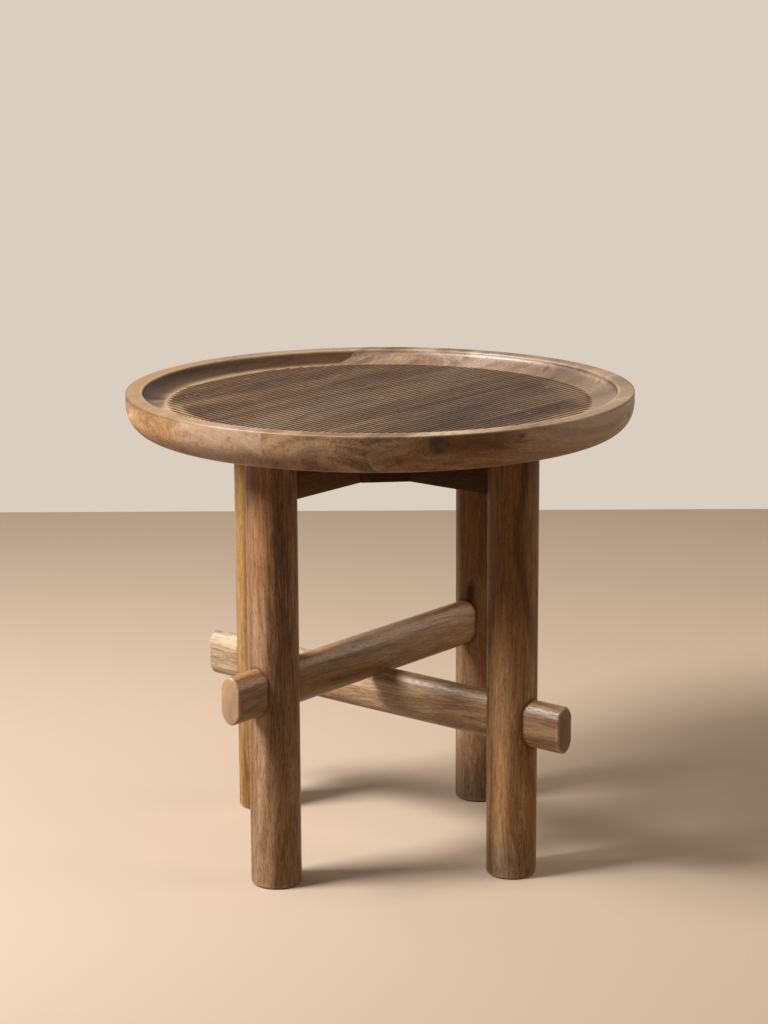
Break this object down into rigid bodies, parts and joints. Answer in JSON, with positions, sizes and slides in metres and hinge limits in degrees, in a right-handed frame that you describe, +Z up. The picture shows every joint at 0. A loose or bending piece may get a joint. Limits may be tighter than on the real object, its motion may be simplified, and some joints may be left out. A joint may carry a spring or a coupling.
{
  "type": "round low table",
  "caption": "Low round side table: a dished wooden tray with a fluted floor on two crossing leg frames whose rails pass through the round legs.",
  "frame": {"origin": "on the ground, under the middle of the tray", "axes": "+Z up, -Y towards the front that the picture shows, +X to the right seen from there; the two rails lie along the diagonals of X and Y"},
  "size_m": [0.508, 0.508, 0.474],
  "materials": {
    "tray_wood": "satin oil on turned solid boards, brown with darker streaks and knots",
    "leg_wood": "satin oil on turned solid wood, upright grain",
    "rail_wood": "satin oil on solid wood, grain along the rail",
    "batten_wood": "satin oil on sawn and planed solid wood",
    "block_wood": "satin oil on sawn solid wood",
    "screw_steel": "zinc plated"
  },
  "bodies": {
    "root": {"tray_top": "tray_wood", "leg_front_left": "leg_wood", "leg_front_right": "leg_wood", "leg_rear_left": "leg_wood", "leg_rear_right": "leg_wood", "upper_rail": "rail_wood", "lower_rail": "rail_wood", "upper_batten": "batten_wood", "lower_batten": "batten_wood", "corner_block_front": "block_wood", "corner_block_rear": "block_wood", "corner_block_left": "block_wood", "corner_block_right": "block_wood", "tray_screw_front_left_inner": "screw_steel", "tray_screw_front_left_outer": "screw_steel", "tray_screw_front_right_inner": "screw_steel", "tray_screw_front_right_outer": "screw_steel", "tray_screw_rear_left_inner": "screw_steel", "tray_screw_rear_left_outer": "screw_steel", "tray_screw_rear_right_inner": "screw_steel", "tray_screw_rear_right_outer": "screw_steel"}
  },
  "joints": []
}
